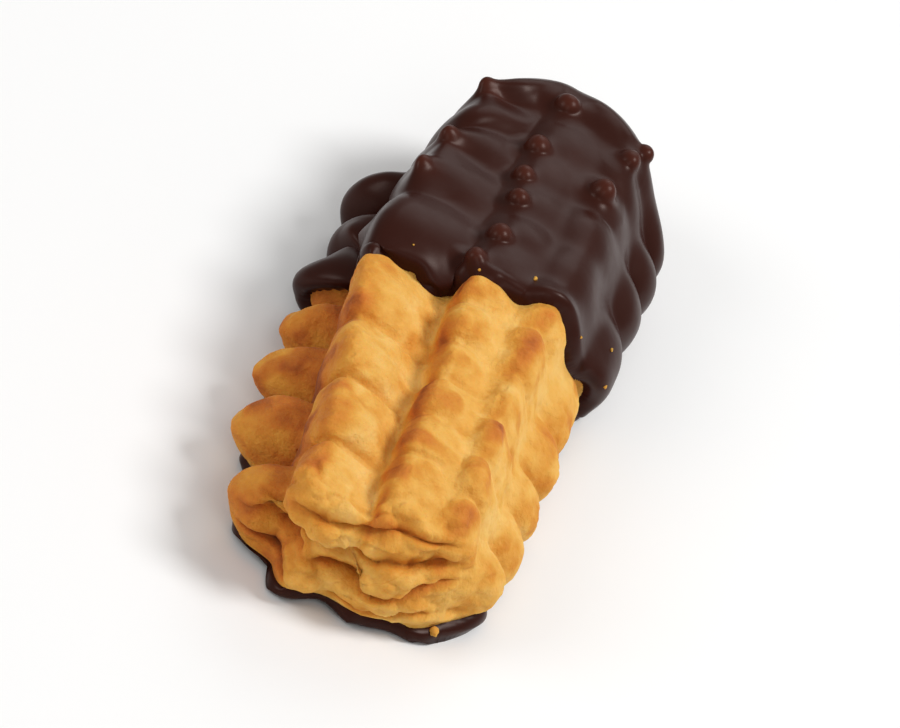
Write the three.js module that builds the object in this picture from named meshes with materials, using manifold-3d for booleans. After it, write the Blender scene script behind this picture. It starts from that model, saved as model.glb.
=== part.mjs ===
// A piped butter biscuit finger, dipped in dark chocolate over its far half and along its whole underside.
// The dough leaves a star nozzle as a flat-bottomed bar with five ridges, and each ridge tears into a row of
// knuckles. The bar lies along X: the bare end is at +X, the dipped end at -X, and the underside is at z = 0.
// The model is two solids, the biscuit and the chocolate, with a hair's gap between them.
import * as THREE from 'three';
import { mergeVertices } from 'three/addons/utils/BufferGeometryUtils.js';
import Module from 'manifold-3d';

// ---- Driving dimensions, in millimetres --------------------------------------------------------------
const BARE_END = 37.4; // x of the biscuit's bare end
const DIPPED_END = -36.7; // x of the biscuit's far end, inside the chocolate
const BASE = 1.0; // height of the biscuit's flat underside
const FOOT = 10.4; // half width of the underside
const FOOT_FOLLOW = 0.6; // share of a flank knuckle's reach that the foot below it follows
const BEND = 2.3; // how far the dipped end curves towards +Y
const SLIDE = { from: -10, to: 4 }; // between these x, the ridges slide to their places in the bare half
const HALF_WIDTH = 14; // out to the flanks' knuckles
const NOSE = { y: -1.2, z: 5.2 }; // the point of the section that both ends close onto
const RISE = 8; // from there up to the crests
const BLUNTNESS = 4; // how flat the ends' faces are
const TAPER = { length: 14, drop: 0.2 }; // the top of the bare end sinks by this share
const CRAG = { depth: 2.2, grain: 3.2, length: 6 }; // the torn dough of the bare end's face
const LOBE = { depth: 0.55, width: 6.6, y: -0.3 }; // the waves in which that face's foot bulges out

const COAT = { top: 0.75, flank: 1.0, lip: 0.55, under: 1.15 }; // the chocolate's thickness
const DIP_LINE = -1.4; // x of the chocolate's edge over the top
const DIP_SLANT = 0.14; // how much further back that edge is for each millimetre to the right
const DIP_SETBACK = { left: 3.6, right: 3.2 }; // how much further back that edge is at each foot
const LIP = { left: 1.2, right: 1.8 }; // how high the chocolate under the bare half climbs up each flank
const FADE = 1.5; // the width over which the chocolate's edge rounds off
const SINK = 0.6; // how far the chocolate's skin dives into the biscuit beyond its edge
const GAP = 0.33; // between the biscuit and the chocolate around it

// The five ridges, from the right flank over the top to the left: a root point in the section, how far the
// root slides to the right in the bare half and bows out to the right at mid length, the angle that the ridge
// points along, its reach at a knuckle and in the notch between two, how far its right and left sides bulge, and
// the x of each knuckle from the bare end on. Knuckles are low in the stretch called calm. The blunter a knuckle,
// the longer its top, and the steeper it is, the rounder its ends. It takes up its width as a share of the length
// there is. Nubs of chocolate stand on the crest at the given x.
const NO_CALM = { from: 0, to: 0 };
const BOW_LENGTH = 18;
const RIDGES = [
  {
    y: 9.6, z: 5.6, slide: -1.4, bow: 0, angle: -2, reach: 3.6, notch: 1.3, bulge: { right: 0.5, left: 0.4 },
    calm: { from: 1.6, to: 9.7 }, blunt: 2.4, steep: 0.8, width: 1, seed: 3, nub: 0, nubs: [],
    knuckles: [30, 23.6, 16.4, 9.7, 1.6, -9.2, -17.2, -25.8, -33.4],
  },
  {
    y: 5.4, z: 10.1, slide: -1.4, bow: 0, angle: 68, reach: 3.7, notch: 2.5, bulge: { right: 0.3, left: 0.5 },
    calm: { from: -18, to: -4 }, blunt: 2.4, steep: 0.6, width: 1, seed: 17,
    nub: 1.0, nubs: [-21.9, -30.2, -33.2],
    knuckles: [32, 26.4, 19.6, 13.5, 5.1, -1.6, -8, -15, -21.4, -27.6, -33],
  },
  {
    y: -0.4, z: 10.3, slide: -1.6, bow: 0, angle: 91, reach: 3.7, notch: 2.5, bulge: { right: 0.4, left: 0.3 },
    calm: NO_CALM, blunt: 2.4, steep: 0.6, width: 1, seed: 29,
    nub: 1.0, nubs: [-3.1, -7.5, -14, -18, -23, -30.8],
    knuckles: [30, 23.5, 17.5, 11.5, 5, -0.4, -4.8, -9.6, -15, -19.9, -26, -33.4],
  },
  {
    y: -7.2, z: 9.8, slide: -0.9, bow: -2.4, angle: 112, reach: 3.9, notch: 2.0, bulge: { right: 0.6, left: 1.0 },
    calm: NO_CALM, blunt: 2.4, steep: 0.6, width: 1, seed: 41, nub: 0.7, nubs: [-6, -13.8, -20.6, -33],
    knuckles: [32.8, 23.6, 14.6, 5, -5.9, -14.3, -21.5, -27.5, -33.6],
  },
  {
    y: -9.6, z: 4.9, slide: -2.3, bow: 0, angle: 183, reach: 4.5, notch: -2.6, bulge: { right: 1.0, left: 0.5 },
    calm: NO_CALM, blunt: 2.6, steep: 0.6, width: 0.68, seed: 53, nub: 0, nubs: [],
    knuckles: [30.6, 21.0, 11.8, 4.2, -3.3, -10.6, -18.6],
  },
];
const NUB_WIDTH = 1.2; // from a nub's top to where a third of it is left
// The floors of the flutes between them, in the same order and with the same slide, how much each swells beside
// a knuckle of one ridge, and how much the chocolate fills it.
const FLUTES = [
  { y: 9.8, z: 8.1, slide: -1.5, beside: 0, swell: 1.0, fill: 0.6 },
  { y: 3.7, z: 12.7, slide: -1.4, beside: 1, swell: 0.3, fill: 0.5 },
  { y: -2.9, z: 10.8, slide: -0.4, beside: 3, swell: 0.4, fill: 1.6 },
  { y: -9.9, z: 7.4, slide: -0.8, beside: 4, swell: 2.2, fill: 0.4 },
];
// How each end closes: over what length each side, each side's top and the foot draw in, and how squarely.
const BARE_CORNER = { right: 25, left: 16, square: 2.4, topRight: 8, topLeft: 3.2, foot: 2.2 };
const DIPPED_CORNER = { right: 6, left: 20, square: 2.1, topRight: 4, topLeft: 4, foot: 2.4 };
const LEVEL_SQUARE = 2.1; // how squarely the tops and feet close
// How much shallower the flutes run out at each end, and over what length.
const BARE_FILL = { rise: 1.5, length: 7 };
const DIPPED_FILL = { rise: 2.2, length: 9 };
// How far each side of an end lies behind its nose, and over what length the bar takes that up.
const BARE_BACK = { right: 2.8, left: -1.8, length: 14 };
const DIPPED_BACK = { right: 5.6, left: 8.0, length: 24 };
const BACK_WIDTH = 8; // from the nose to where most of that is reached

const BISCUIT_COLOUR = 0xdfa356;
const CHOCOLATE_COLOUR = 0x3c231d;

// ---- Mesh density --------------------------------------------------------------------------------------
const STATION_STEP = 1.4; // along the bar
const END_LENGTH = 3; // of the stretch at each end where the stations crowd together
const END_STATIONS = 5;
const END_CROWDING = 2.2;
const CURVE_STEPS = 2; // between a crest and the middle of its side
const UNDERSIDE_STEPS = 4;

// ---- Repeatable irregularity ---------------------------------------------------------------------------
const clamp01 = (v) => Math.min(1, Math.max(0, v));
const smooth = (v) => clamp01(v) ** 2 * (3 - 2 * clamp01(v));
const mix = (a, b, share) => a + (b - a) * share;

function hash(n) {
  const v = Math.sin(n * 127.1 + 311.7) * 43758.5453;
  return v - Math.floor(v);
}

// A smooth wave between -1 and 1 through a random value at each whole number.
function wander(x, seed) {
  const cell = Math.floor(x);
  const from = hash(cell + seed * 57) * 2 - 1;
  const to = hash(cell + 1 + seed * 57) * 2 - 1;
  return mix(from, to, smooth(x - cell));
}

// The same over a plane.
function wander2(x, y, seed) {
  const row = Math.floor(y);
  return mix(wander(x, seed + row * 3), wander(x, seed + row * 3 + 3), smooth(y - row));
}

// ---- Section -------------------------------------------------------------------------------------------
// Where x lies on its knuckle: 0 on the knuckle's middle, 1 in the notch before or after it.
function offKnuckle(ridge, x) {
  const { knuckles } = ridge;
  const distance = (k) => Math.abs(x - knuckles[k]);
  const nearest = knuckles.reduce((best, _, k) => (distance(k) < distance(best) ? k : best), 0);
  const next = x > knuckles[nearest] ? nearest - 1 : nearest + 1;
  const spacing = knuckles[next] === undefined ? 9 : Math.abs(knuckles[next] - knuckles[nearest]);
  return { nearest, off: Math.min(1, (2 * distance(nearest)) / (spacing * ridge.width)) };
}

// How full a knuckle is at x: 1 on its middle and 0 in its notches, which chocolate softens.
function fullness(ridge, x, soften) {
  const { nearest, off } = offKnuckle(ridge, x);
  const size = 0.88 + 0.24 * hash(ridge.seed + nearest * 13);
  return size * (1 - off ** ridge.blunt) ** mix(ridge.steep, 1.3, soften);
}

// How far the ridge reaches out at x.
function reachAt(ridge, x, soften) {
  const calm = x > ridge.calm.from && x < ridge.calm.to ? 0.3 : 1;
  const relief = (ridge.reach - ridge.notch) * calm * (1 - 0.45 * soften);
  return ridge.reach - relief * (1 - fullness(ridge, x, soften));
}

// The height of the nubs on the ridge at x.
function nubAt(ridge, x) {
  const heights = ridge.nubs.map((nub) => ridge.nub * Math.exp(-(((x - nub) / NUB_WIDTH) ** 2)));
  return Math.max(0, ...heights);
}

// How far a ridge or flute lies to the right of its place in the dipped half.
const slid = (slide, x) => slide * smooth((x - SLIDE.from) / (SLIDE.to - SLIDE.from));

function crestPoint(ridge, x, soften) {
  const angle = THREE.MathUtils.degToRad(ridge.angle);
  const out = new THREE.Vector2(Math.cos(angle), Math.sin(angle));
  const sway = 0.35 * wander(x / 11, ridge.seed);
  const bow = ridge.bow * Math.exp(-((x / BOW_LENGTH) ** 2)) + slid(ridge.slide, x);
  const root = new THREE.Vector2(ridge.y + bow - out.y * sway, ridge.z + out.x * sway);
  return root.addScaledVector(out, reachAt(ridge, x, soften) + nubAt(ridge, x));
}

// How much a flute has filled up at a distance from an end.
const filled = (fill, distance) => fill.rise * smooth(1 - distance / fill.length);

function flutePoint(flute, x, soften, seed) {
  const sway = 0.3 * wander(x / 9, seed);
  const swell = flute.swell * (fullness(RIDGES[flute.beside], x, soften) - 0.6);
  const runOut = filled(BARE_FILL, BARE_END - x) + filled(DIPPED_FILL, x - DIPPED_END);
  const z = flute.z + 0.5 * sway + swell + flute.fill * soften + runOut;
  return new THREE.Vector2(flute.y + slid(flute.slide, x) + sway, z);
}

function footPoint(crest) {
  const half = mix(FOOT, Math.abs(crest.x), FOOT_FOLLOW);
  return new THREE.Vector2(Math.sign(crest.x) * half, BASE);
}

// The middle of a ridge's side, pushed out by its bulge.
function sidePoint(start, stop, bulge) {
  const along = stop.clone().sub(start).normalize();
  const out = new THREE.Vector2(along.y, -along.x);
  return start.clone().lerp(stop, 0.5).addScaledVector(out, bulge);
}

// The outline of the section at x, as [y, z]: from the right foot over the ridges to the left, and back.
function sectionAt(x, soften) {
  const crests = RIDGES.map((ridge) => crestPoint(ridge, x, soften));
  const flutes = FLUTES.map((flute, i) => flutePoint(flute, x, soften, 71 + i));
  const lows = [footPoint(crests[0]), ...flutes, footPoint(crests[4])];
  const corners = crests.flatMap((crest, i) => {
    const swell = fullness(RIDGES[i], x, soften);
    const { bulge } = RIDGES[i];
    const right = sidePoint(lows[i], crest, bulge.right * swell);
    return [lows[i], right, crest, sidePoint(crest, lows[i + 1], bulge.left * swell)];
  });
  corners.push(lows[5]);
  const outline = new THREE.SplineCurve(corners).getPoints((corners.length - 1) * CURVE_STEPS);
  for (let i = 1; i < UNDERSIDE_STEPS; i++) {
    outline.push(lows[5].clone().lerp(lows[0], i / UNDERSIDE_STEPS));
  }
  return outline;
}

// ---- Ends ----------------------------------------------------------------------------------------------
// The share of its full size that a side keeps at a distance from the end's tip.
function closing(distance, length, square) {
  return (1 - clamp01(1 - distance / length) ** square) ** (1 / square);
}

// Draws a reach in to a share of its full size. Small reaches stay as they are until the large ones meet them.
function drawnIn(reach, full, share) {
  const outer = 1 + Math.abs(reach / full) ** BLUNTNESS;
  const inner = 1 + Math.abs(reach / (full * share)) ** BLUNTNESS;
  return reach * (outer / inner) ** (1 / BLUNTNESS);
}

function closeEnd(point, distance, corner) {
  const across = point.x - NOSE.y;
  const up = point.y - NOSE.z;
  const side = closing(distance, across > 0 ? corner.right : corner.left, corner.square);
  const top = mix(corner.topLeft, corner.topRight, smooth(across / 10 + 0.4));
  const level = closing(distance, up > 0 ? top : corner.foot, LEVEL_SQUARE);
  const y = NOSE.y + drawnIn(across, HALF_WIDTH, side);
  const z = NOSE.z + drawnIn(up, up > 0 ? RISE : NOSE.z - BASE, level);
  return new THREE.Vector2(y, z);
}

// The bare end's top slopes down towards its face.
function taper(point, x) {
  const drop = TAPER.drop * smooth((x - BARE_END + TAPER.length) / TAPER.length) ** 1.4;
  const above = Math.max(0, point.y - NOSE.z);
  return new THREE.Vector2(point.x, point.y - above * drop);
}

// The torn face of the bare end, in lumps and ledges over a foot of lobes.
function crag(point) {
  const closeness = smooth(1 - (BARE_END - point.x) / CRAG.length);
  const height = smooth((point.z - BASE - 1) / 3);
  const lump = wander2(point.y / CRAG.grain, point.z / (CRAG.grain * 0.7), 91);
  const lobe = Math.cos((2 * Math.PI * (point.y - LOBE.y)) / LOBE.width) * smooth(1.3 - point.z / 8);
  return point.x + closeness * (CRAG.depth * height * (0.5 * lump - 0.35) + LOBE.depth * lobe);
}

// How far a point at y lies behind its end's nose, at a distance from the end.
function setBack(y, distance, back) {
  const across = y - NOSE.y;
  const share = 1 - Math.exp(-((across / BACK_WIDTH) ** 2));
  return (across > 0 ? back.right : back.left) * share * smooth(1 - distance / back.length);
}

function placed(point, x) {
  const behind = setBack(point.x, BARE_END - x, BARE_BACK) - setBack(point.x, x - DIPPED_END, DIPPED_BACK);
  const place = new THREE.Vector3(x - behind, point.x, point.y);
  place.x = crag(place);
  place.y += BEND * clamp01(-x / 38) ** 2;
  return place;
}

// ---- Solids --------------------------------------------------------------------------------------------
function stations() {
  const xs = [];
  for (let j = 1; j <= END_STATIONS; j++) {
    const inset = END_LENGTH * (j / END_STATIONS) ** END_CROWDING;
    xs.push(DIPPED_END + inset, BARE_END - inset);
  }
  const from = DIPPED_END + END_LENGTH;
  const length = BARE_END - END_LENGTH - from;
  const count = Math.round(length / STATION_STEP);
  for (let j = 1; j < count; j++) {
    xs.push(from + (length * j) / count);
  }
  return xs.sort((a, b) => a - b);
}

// Closed triangles over a row of equal rings and the tips at both ends.
function skinOver(rings, firstTip, lastTip) {
  const count = rings[0].length;
  const points = [firstTip, ...rings.flat(), lastTip];
  const at = (ring, i) => 1 + ring * count + (i % count);
  const index = [];
  for (let i = 0; i < count; i++) {
    index.push(0, at(0, i + 1), at(0, i));
    for (let ring = 0; ring < rings.length - 1; ring++) {
      index.push(at(ring, i), at(ring, i + 1), at(ring + 1, i + 1));
      index.push(at(ring, i), at(ring + 1, i + 1), at(ring + 1, i));
    }
    index.push(points.length - 1, at(rings.length - 1, i), at(rings.length - 1, i + 1));
  }
  const geometry = new THREE.BufferGeometry().setFromPoints(points);
  geometry.setIndex(index);
  return geometry;
}

// The biscuit's surface. With the notches softened, it is what the chocolate's skin drapes over.
function biscuitSurface(softenAt) {
  const rings = stations().map((x) => {
    const outline = sectionAt(x, softenAt(x)).map((point) => {
      const bare = closeEnd(taper(point, x), BARE_END - x, BARE_CORNER);
      return closeEnd(bare, x - DIPPED_END, DIPPED_CORNER);
    });
    return outline.map((point) => placed(point, x));
  });
  const nose = new THREE.Vector2(NOSE.y, NOSE.z);
  return skinOver(rings, placed(nose, DIPPED_END), placed(nose, BARE_END));
}

// Moves each point of a surface along its normal by the depth that the rule gives for it.
function grown(geometry, rule) {
  geometry.computeVertexNormals();
  const { position, normal } = geometry.attributes;
  const point = new THREE.Vector3();
  const out = new THREE.Vector3();
  const moved = [];
  for (let i = 0; i < position.count; i++) {
    point.fromBufferAttribute(position, i);
    out.fromBufferAttribute(normal, i);
    moved.push(point.clone().addScaledVector(out, rule(point, out)));
  }
  return new THREE.BufferGeometry().setFromPoints(moved).setIndex(geometry.index.clone());
}

// How far a point lies inside the chocolate's edge: behind the dip line, or under the lip.
function insideChocolate(point) {
  const lowness = smooth(1 - (point.z - 2) / 10);
  const ragged = 0.5 * wander(point.y / 2.4, 5);
  const rightness = smooth(point.y / 16 + 0.5);
  const setback = mix(DIP_SETBACK.left, DIP_SETBACK.right, rightness);
  const edge = DIP_LINE - DIP_SLANT * point.y - setback * lowness ** 1.5 + ragged;
  const climb = mix(LIP.left, LIP.right, rightness);
  const lip = climb + 0.4 * wander(point.x / 4.2 + Math.sign(point.y) * 40, 6);
  return Math.max(edge - point.x, lip - point.z);
}

function chocolateDepth(point, out) {
  const flank = mix(COAT.flank, COAT.lip, smooth((point.x - DIP_LINE) / 3));
  const over = mix(flank, COAT.top, smooth(out.z));
  const full = mix(over, COAT.under, smooth((-out.z - 0.5) / 0.4));
  const share = smooth(0.5 + insideChocolate(point) / FADE);
  return mix(-SINK, full, share);
}

const wasm = await Module();
wasm.setup();

function solidOf(geometry) {
  const vertProperties = Float32Array.from(geometry.attributes.position.array);
  const triVerts = Uint32Array.from(geometry.index.array);
  return new wasm.Manifold(new wasm.Mesh({ numProp: 3, vertProperties, triVerts }));
}

function geometryOf(solid) {
  const mesh = solid.getMesh();
  const geometry = new THREE.BufferGeometry();
  geometry.setAttribute('position', new THREE.BufferAttribute(mesh.vertProperties, 3));
  geometry.setIndex(new THREE.BufferAttribute(mesh.triVerts, 1));
  return geometry;
}

// Everything above the surface that the underside's chocolate set on.
function aboveFloor() {
  const size = 120;
  const box = new THREE.BoxGeometry(size, size, size).translate(0, 0, size / 2);
  box.deleteAttribute('normal');
  box.deleteAttribute('uv');
  return mergeVertices(box);
}

// The lowest-numbered point that each point is joined to by triangles.
function shellOfPoints(index, count) {
  const parent = Array.from({ length: count }, (_, i) => i);
  const root = (i) => {
    while (parent[i] !== i) {
      parent[i] = parent[parent[i]];
      i = parent[i];
    }
    return i;
  };
  for (let t = 0; t < index.length; t += 3) {
    for (const k of [1, 2]) {
      const [a, b] = [root(index[t]), root(index[t + k])];
      parent[Math.max(a, b)] = Math.min(a, b);
    }
  }
  return parent.map((_, i) => root(i));
}

// The one shell that holds the most, without loose scraps or sealed bubbles.
function largestShell(geometry) {
  const { position } = geometry.attributes;
  const index = Array.from(geometry.index.array);
  const shellOf = shellOfPoints(index, position.count);
  const corner = (i) => new THREE.Vector3().fromBufferAttribute(position, i);
  const volumes = new Map();
  for (let t = 0; t < index.length; t += 3) {
    const [a, b, c] = index.slice(t, t + 3).map(corner);
    const shell = shellOf[index[t]];
    volumes.set(shell, (volumes.get(shell) ?? 0) + a.dot(b.cross(c)) / 6);
  }
  const [largest] = [...volumes].reduce((best, entry) => (entry[1] > best[1] ? entry : best));
  const kept = index.filter((point) => shellOf[point] === largest);
  return mergeVertices(geometry.clone().setIndex(kept));
}

const BARE = () => 0;
const draped = (x) => smooth((DIP_LINE + 1 - x) / 3);

function chocolateCoat() {
  const skin = solidOf(grown(biscuitSurface(draped), chocolateDepth));
  const cavity = solidOf(grown(biscuitSurface(BARE), () => GAP));
  return largestShell(geometryOf(skin.intersect(solidOf(aboveFloor())).subtract(cavity)));
}

// ---- Model ---------------------------------------------------------------------------------------------
function named(name, geometry, color, roughness) {
  const material = new THREE.MeshStandardMaterial({ color, roughness, metalness: 0 });
  const mesh = new THREE.Mesh(geometry, material);
  mesh.name = name;
  return mesh;
}

// Puts the middle of the whole over the origin.
function centred(parts) {
  const box = new THREE.Box3();
  parts.forEach((part) => box.expandByObject(part));
  const middle = box.getCenter(new THREE.Vector3());
  parts.forEach((part) => part.geometry.translate(-middle.x, -middle.y, 0));
  return new THREE.Group().add(...parts);
}

export default centred([
  named('biscuit', biscuitSurface(BARE), BISCUIT_COLOUR, 0.85),
  named('chocolate_coat', chocolateCoat(), CHOCOLATE_COLOUR, 0.42),
]);
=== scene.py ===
"""Looks of a piped butter biscuit, half dipped in dark chocolate.

The biscuit and the chocolate follow the same sections as the CAD solids, at about a fifth of their spacing.
The crumb, the creases, the torn folds and the beads grow out of those surfaces. Form is worked out in
millimetres, and meshes are made in metres.
"""

import math

import bpy
import numpy as np
from mathutils import Matrix, Vector


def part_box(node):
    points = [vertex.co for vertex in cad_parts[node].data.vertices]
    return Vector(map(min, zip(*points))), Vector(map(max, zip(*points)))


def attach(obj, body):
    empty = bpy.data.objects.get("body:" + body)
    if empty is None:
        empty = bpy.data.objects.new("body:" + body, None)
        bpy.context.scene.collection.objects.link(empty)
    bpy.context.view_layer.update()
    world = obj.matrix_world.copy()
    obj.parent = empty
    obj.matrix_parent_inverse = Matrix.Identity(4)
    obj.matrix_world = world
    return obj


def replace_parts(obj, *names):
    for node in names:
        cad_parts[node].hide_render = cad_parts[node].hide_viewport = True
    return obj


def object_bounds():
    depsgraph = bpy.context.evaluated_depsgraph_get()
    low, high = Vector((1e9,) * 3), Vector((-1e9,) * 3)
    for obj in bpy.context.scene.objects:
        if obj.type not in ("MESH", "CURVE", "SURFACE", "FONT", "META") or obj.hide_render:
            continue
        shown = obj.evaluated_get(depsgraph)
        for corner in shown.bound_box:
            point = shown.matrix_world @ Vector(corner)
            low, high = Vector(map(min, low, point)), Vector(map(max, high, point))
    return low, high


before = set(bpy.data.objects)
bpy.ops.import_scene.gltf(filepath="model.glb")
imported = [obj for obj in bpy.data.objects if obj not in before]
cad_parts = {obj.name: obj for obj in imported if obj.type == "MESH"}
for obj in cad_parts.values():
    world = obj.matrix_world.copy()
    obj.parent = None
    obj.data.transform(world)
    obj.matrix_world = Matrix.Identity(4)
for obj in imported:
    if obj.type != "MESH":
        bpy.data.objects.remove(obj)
CAD_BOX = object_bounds()
MM = 0.001

# ---- The form, in millimetres, as in the CAD --------------------------------------------------------
BARE_END = 37.4  # x of the biscuit's bare end
DIPPED_END = -36.7  # x of its far end, inside the chocolate
BASE = 1.0  # height of its flat underside
FOOT = 10.4  # half width of the underside
FOOT_FOLLOW = 0.6  # share of a flank knuckle's reach that the foot below it follows
BEND, BEND_LENGTH = 2.3, 38  # how far the dipped end curves towards +Y, and over what length
HALF_WIDTH = 14  # out to the flanks' knuckles
NOSE_Y, NOSE_Z = -1.2, 5.2  # the point of the section that both ends close onto
RISE = 8  # from there up to the crests
BLUNTNESS = 4  # how flat the ends' faces are
LEVEL_SQUARE = 2.1  # how squarely the ends' tops and feet close
BACK_WIDTH = 8  # from the nose to where most of an end's set-back is reached
TAPER_LENGTH, TAPER_DROP, TAPER_POWER = 14, 0.2, 1.4  # the top of the bare end sinks by this share
CRAG_DEPTH, CRAG_GRAIN, CRAG_LENGTH = 2.2, 3.2, 6  # the torn dough of the bare end's face
CRAG_FLATNESS, CRAG_SEED = 0.7, 91
LOBE_DEPTH, LOBE_WIDTH, LOBE_Y = 0.55, 6.6, -0.3  # the waves in which that face's foot bulges out
LOBE_HEIGHT = 8

SLIDE_FROM, SLIDE_TO = -10, 4  # between these x, the ridges slide to their places in the bare half
BOW_LENGTH = 18  # over which a ridge bows out at mid length
RIDGE_SWAY, RIDGE_SWAY_LENGTH = 0.35, 11  # how a ridge wanders to either side, and over what length
FLUTE_SWAY, FLUTE_SWAY_LENGTH = 0.3, 9
FLUTE_SEED = 71
KNUCKLE_SIZE, KNUCKLE_SPREAD = 0.88, 0.24  # the smallest knuckle's share of a full one, and what others add
PAST_LAST_KNUCKLE = 9  # the spacing beyond the last knuckle at each end
CALM_SHARE = 0.3  # of the relief that is left in a calm stretch
DIPPED_FILL, DIPPED_FILL_LENGTH = 2.2, 9  # how much shallower the flutes run out at the dipped end
BARE_FILL, BARE_FILL_LENGTH = 1.5, 7  # the same at the bare end
SOFT_STEEP, SOFT_RELIEF = 1.3, 0.45  # how knuckles flow together under the chocolate

COAT_TOP, COAT_FLANK, COAT_UNDER = 0.75, 1.0, 1.15  # the chocolate's thickness
LIP_THIN, LIP_THICK = 0.34, 0.45  # that of the lip round the bare half, at its left and its right
LIP_LEFT, LIP_RIGHT = 1.15, 1.5  # how high that lip climbs up each flank
DIP_LINE = -1.4  # x of the chocolate's edge over the top
DIP_SLANT = 0.14  # how much further back that edge is for each millimetre to the right
DIP_SETBACK_LEFT, DIP_SETBACK_RIGHT = 3.6, 3.2  # how much further back that edge is at each foot
SINK = 0.6  # how far the chocolate's skin dives into the biscuit beyond its edge


class Ridge:
    """One lengthwise ridge.

    It has a root in the section, the angle that it points along, its reach at a knuckle and in the notch
    between two, and the x of each knuckle from the bare end on. Its root slides to the right in the bare
    half and bows out at mid length. Knuckles are low in the stretch called calm. The blunter a knuckle, the
    longer its top, and the steeper it is, the rounder its ends. It takes up its width as a share of the
    length there is, and its right and left sides bulge.

    What follows is finer than in the CAD: how far the bare knuckles lean towards the bare end, how far they
    and their torn lumps stand out on the crest, how deep the creases between them are, and the beads of
    chocolate, each as its x, how far it is to the right of the crest, its radius, and how steep its foot is
    in radians.
    """

    def __init__(
        self, y, z, angle, reach, notch, seed, knuckles, slide, bulge,
        bow=0, calm=(0, 0), blunt=2.4, steep=0.6, width=1,
        lean=0.7, edge=0, torn=0.6, crease=0.45, beads=(),
    ):
        self.y, self.z, self.slide, self.bow = y, z, slide, bow
        self.out = (math.cos(math.radians(angle)), math.sin(math.radians(angle)))
        self.reach, self.notch = reach, notch
        self.seed, self.knuckles, self.calm = seed, np.array(knuckles, float), calm
        self.blunt, self.steep, self.width, self.bulge = blunt, steep, width, bulge
        self.lean, self.edge, self.torn, self.crease = lean, edge, torn, crease
        self.beads = beads


# From the right flank over the top to the left.
RIDGES = [
    Ridge(
        y=9.6, z=5.6, angle=-2, reach=3.6, notch=1.3, seed=3, slide=-1.4, bulge=(0.5, 0.4),
        knuckles=[30, 23.6, 16.4, 9.7, 1.6, -9.2, -17.2, -25.8, -33.4],
        calm=(1.6, 9.7), steep=0.8, lean=0.4, edge=0.1,
    ),
    Ridge(
        y=5.4, z=10.1, angle=68, reach=3.7, notch=2.5, seed=17, slide=-1.4, bulge=(0.3, 0.5),
        knuckles=[32, 26.4, 19.6, 13.5, 5.1, -1.6, -8, -15, -21.4, -27.6, -33],
        calm=(-18, -4), lean=0.2, edge=0.1, torn=0.2, crease=0.15,
        beads=((-21.9, -1.2, 1.35, 1.25), (-30.2, -0.4, 1.2, 1.25), (-33.2, 0.4, 1, 1.2)),
    ),
    Ridge(
        y=-0.4, z=10.3, angle=91, reach=3.7, notch=2.5, seed=29, slide=-1.6, bulge=(0.4, 0.3),
        knuckles=[30, 23.5, 17.5, 11.5, 5, -0.4, -4.8, -9.6, -15, -19.9, -26, -33.4],
        lean=0.5, edge=0.1, torn=0.5, crease=0.25,
        beads=(
            (-3.1, -1.2, 1.1, 1.2), (-7.5, -0.9, 1.25, 1.25), (-14, -0.9, 1.1, 1.2),
            (-18, -1.1, 1.1, 1.2), (-23, -1, 1.3, 1.25), (-30.8, -0.4, 1.25, 1.2),
        ),
    ),
    Ridge(
        y=-7.2, z=9.8, angle=112, reach=3.9, notch=2.0, seed=41, slide=-0.9, bow=-2.4, bulge=(0.6, 1.0),
        knuckles=[32.8, 23.6, 14.6, 5, -5.9, -14.3, -21.5, -27.5, -33.6],
        lean=1.0,
        beads=((-6, 0, 1.5, 0.6), (-13.8, -0.2, 1.6, 0.6), (-20.6, -0.2, 1.7, 0.65), (-33, -0.4, 1.5, 0.6)),
    ),
    Ridge(
        y=-9.6, z=4.9, angle=183, reach=4.5, notch=-2.6, seed=53, slide=-2.3, bulge=(1.0, 0.5),
        knuckles=[30.6, 21.0, 11.8, 4.2, -3.3, -10.6, -18.6],
        blunt=2.6, width=0.68,
    ),
]
# The flutes between them, the ridge whose knuckles each swells beside and by how much, and how much the
# chocolate fills it.
FLUTES = [
    dict(y=9.8, z=8.1, slide=-1.5, beside=0, swell=1.0, fill=0.6),
    dict(y=3.7, z=12.7, slide=-1.4, beside=1, swell=0.3, fill=0.5),
    dict(y=-2.9, z=10.8, slide=-0.4, beside=3, swell=0.4, fill=1.6),
    dict(y=-9.9, z=7.4, slide=-0.8, beside=4, swell=2.2, fill=0.4),
]
# How each end closes: the lengths over which its right and left sides draw in, and how squarely, and those
# of its top at the right and at the left, and of its foot.
BARE_CORNER = dict(right=25, left=16, square=2.4, top_right=8, top_left=3.2, foot=2.2)
DIPPED_CORNER = dict(right=6, left=20, square=2.1, top_right=4, top_left=4, foot=2.4)
# How far each side of an end lies behind its nose, and the length over which the bar takes that up.
BARE_BACK = dict(right=2.8, left=-1.8, length=14)
DIPPED_BACK = dict(right=5.6, left=8.0, length=24)

# ---- Mesh density, in millimetres and counts --------------------------------------------------------
HIDDEN_TO, HIDDEN_STEP = -9, 0.9  # the dough up to this x is hidden in the chocolate
CRUST_STEP = 0.26  # of the rest of the dough
GLAZE_TO, GLAZE_STEP = 1.5, 0.19  # of the dipped half's chocolate, up to this x
UNDER_STEP = 0.45  # of the sheet and the lip under the bare half
CURVE_STEPS, UNDER_STEPS = 13, 24  # from a crest to the middle of its side, and across the underside
END_LENGTH, END_CROWDING, END_RINGS = 3, 2.3, 44  # of the rings that crowd together at each tip
CORNERS = 4 * len(RIDGES)
# Where each point of a section lies: whole odd numbers are the crests, even ones the flutes and the feet,
# and beyond the last foot comes the underside.
LAST_FOOT = 2 * len(RIDGES)
AROUND = np.concatenate([
    np.arange(CORNERS * CURVE_STEPS + 1) / (2 * CURVE_STEPS),
    LAST_FOOT + np.arange(1, UNDER_STEPS) / UNDER_STEPS,
])


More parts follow.
